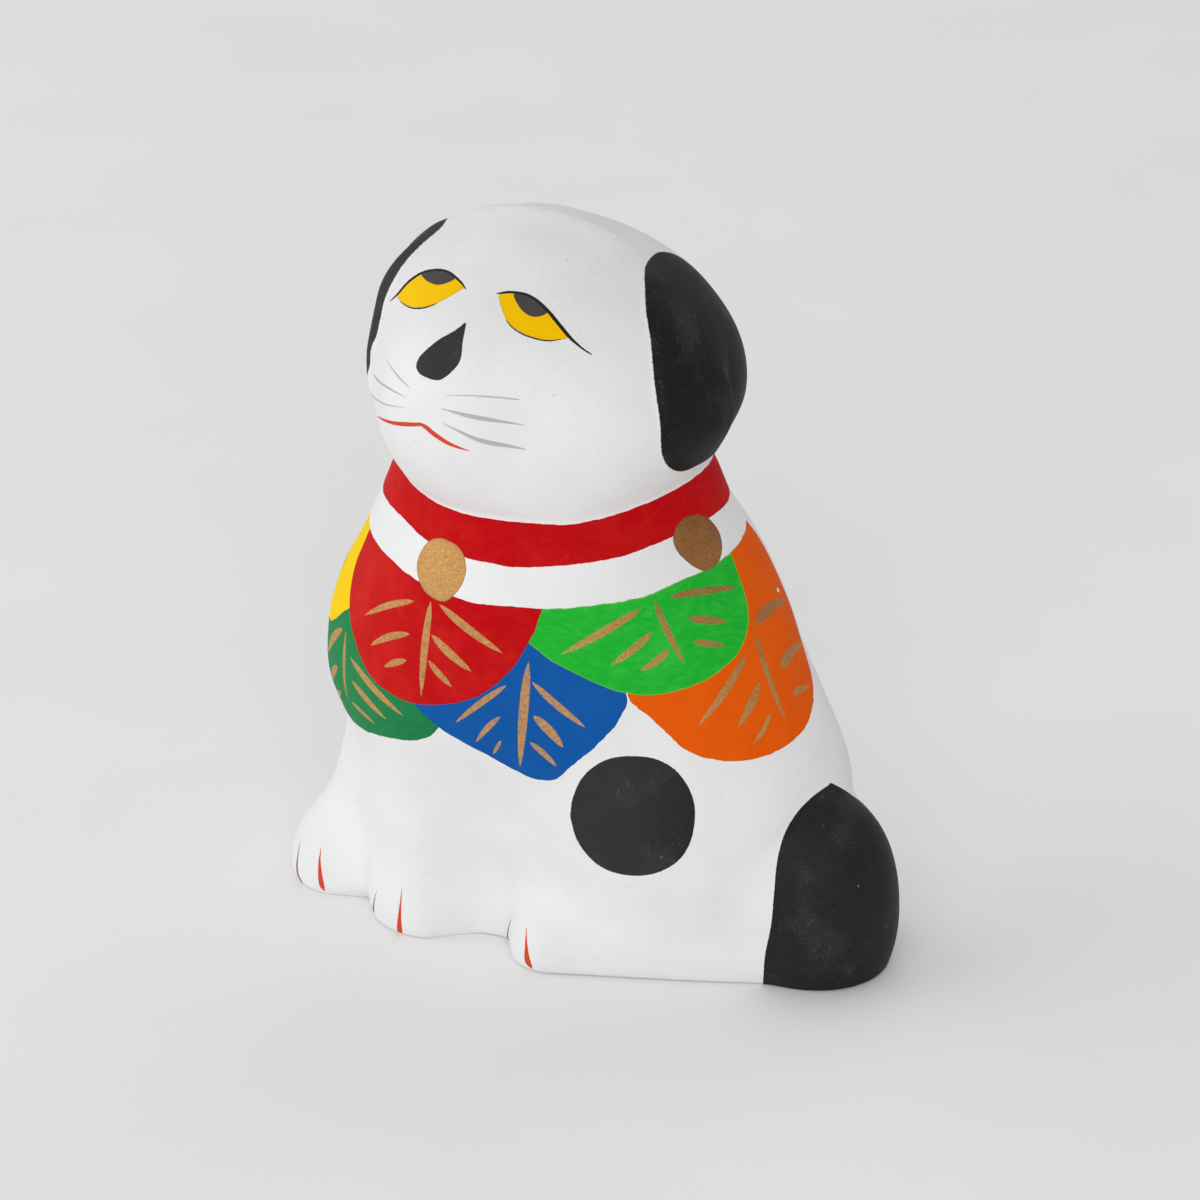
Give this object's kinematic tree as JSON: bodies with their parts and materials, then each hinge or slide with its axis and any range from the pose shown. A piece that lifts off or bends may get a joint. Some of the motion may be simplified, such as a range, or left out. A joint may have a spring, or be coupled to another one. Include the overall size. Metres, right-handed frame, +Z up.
{
  "type": "clay dog figure",
  "caption": "Small painted clay figure of a seated dog in profile with its round head turned, wearing a collar with bells over a ruff of coloured petals; it stands on its flat underside.",
  "frame": {"origin": "on the flat underside, straight below the middle of the neck", "axes": "+Z up; -Y towards the side that is shown, which the face and chest are turned to; +X towards the tail, so the front paws are towards -X"},
  "size_m": [0.1225, 0.0711, 0.1371],
  "materials": {
    "dog_figure": "matte white ground with matte coloured paint"
  },
  "bodies": {
    "root": {"dog_figure": "dog_figure"}
  },
  "joints": []
}
